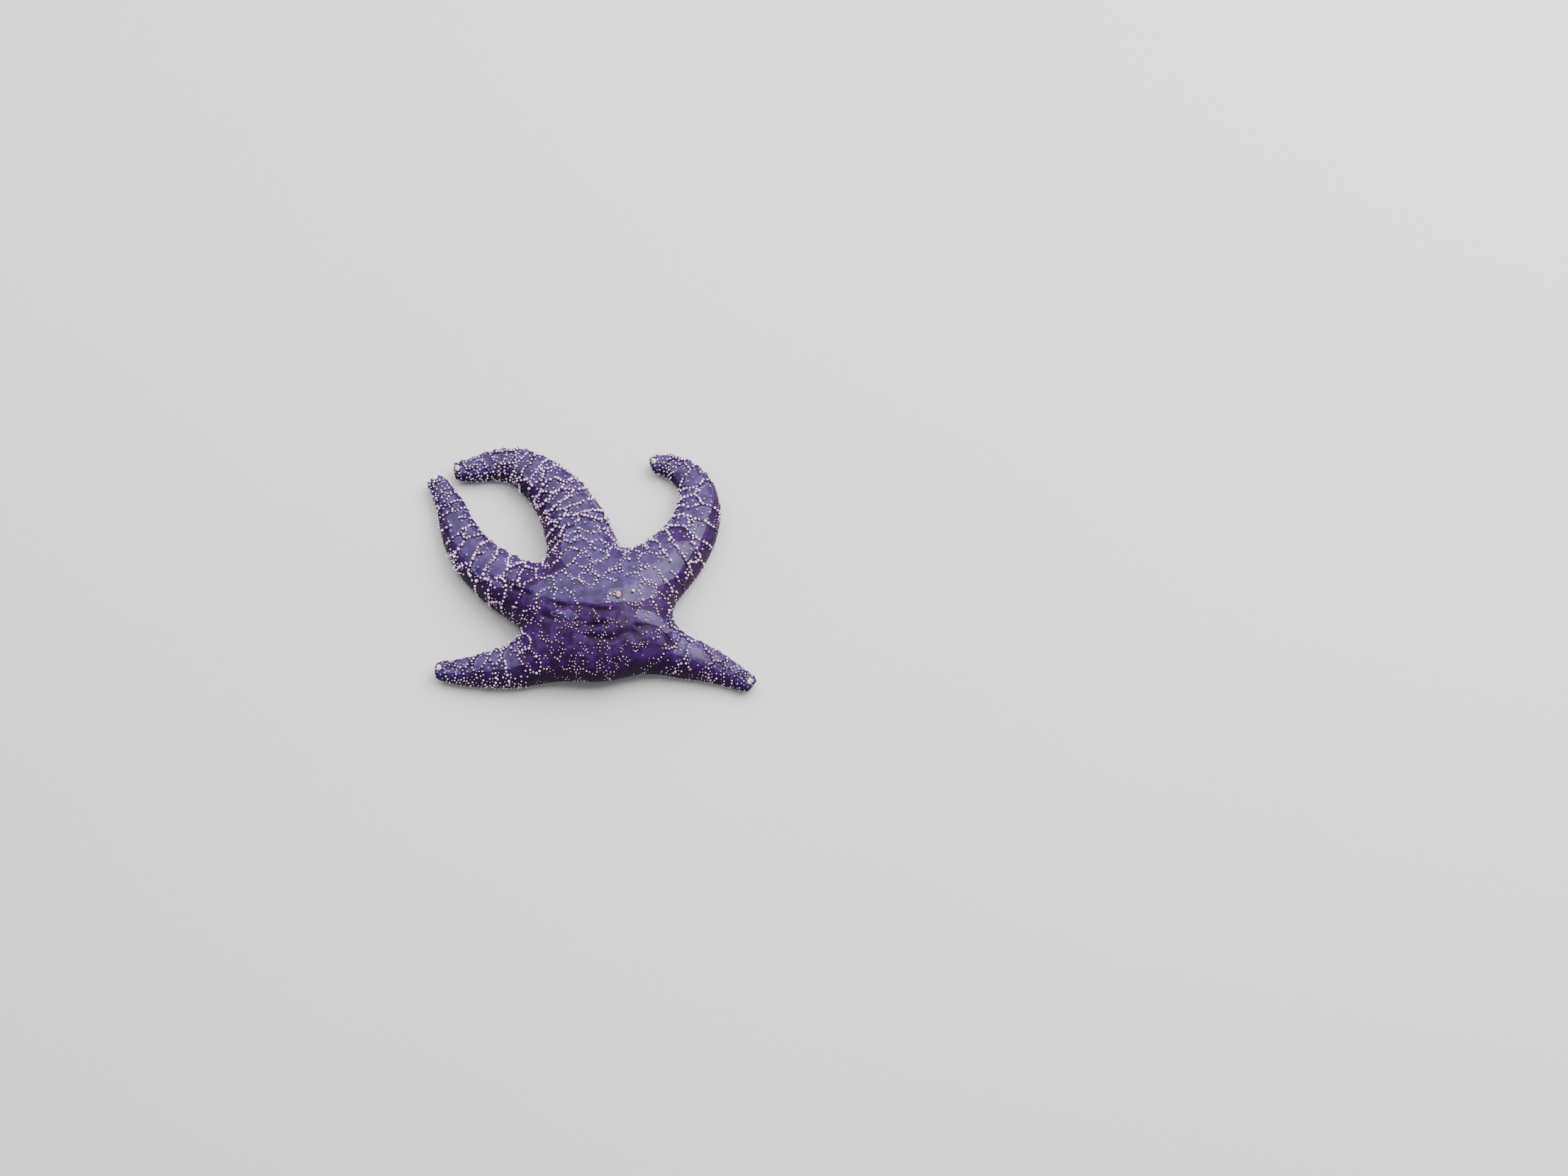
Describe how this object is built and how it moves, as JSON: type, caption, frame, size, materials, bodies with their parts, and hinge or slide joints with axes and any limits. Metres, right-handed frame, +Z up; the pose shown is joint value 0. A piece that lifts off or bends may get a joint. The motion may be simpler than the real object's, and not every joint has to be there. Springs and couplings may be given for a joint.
{
  "type": "ochre sea star",
  "caption": "Life-size sea star with a low domed disc and long tapering arms, two curled towards each other and one hooked, rows of blunt spines and a furrowed underside.",
  "frame": {"origin": "under the middle of the whole animal's outer box, at the level of the floor it lies on", "axes": "+Z up out of its back, +X to the right and +Y away, as seen from the viewer's side"},
  "size_m": [0.1688, 0.1404, 0.0298],
  "materials": {
    "skin": "wet, tough violet skin, dark in the creases and slate-lilac where a film of water lies on it",
    "spine": "chalky white to pale lilac blunt spines, wet",
    "eye_plate": "cream and pink limy plate, wet",
    "sieve_plate": "finely grooved pinkish-orange limy plate",
    "mouth": "soft wet ochre skin",
    "tube_foot": "soft, translucent, pale ochre tube feet"
  },
  "bodies": {
    "root": {"disc": "skin", "mouth": "mouth", "sieve_plate": "sieve_plate", "arm_a_base": "skin", "arm_a_middle": "skin", "arm_a_end": "skin", "eye_plate_a": "eye_plate", "arm_b_base": "skin", "arm_b_middle": "skin", "arm_b_end": "skin", "eye_plate_b": "eye_plate", "arm_c_base": "skin", "arm_c_middle": "skin", "arm_c_end": "skin", "eye_plate_c": "eye_plate", "arm_d_base": "skin", "arm_d_middle": "skin", "arm_d_end": "skin", "eye_plate_d": "eye_plate", "arm_e_base": "skin", "arm_e_middle": "skin", "arm_e_end": "skin", "eye_plate_e": "eye_plate"}
  },
  "joints": []
}
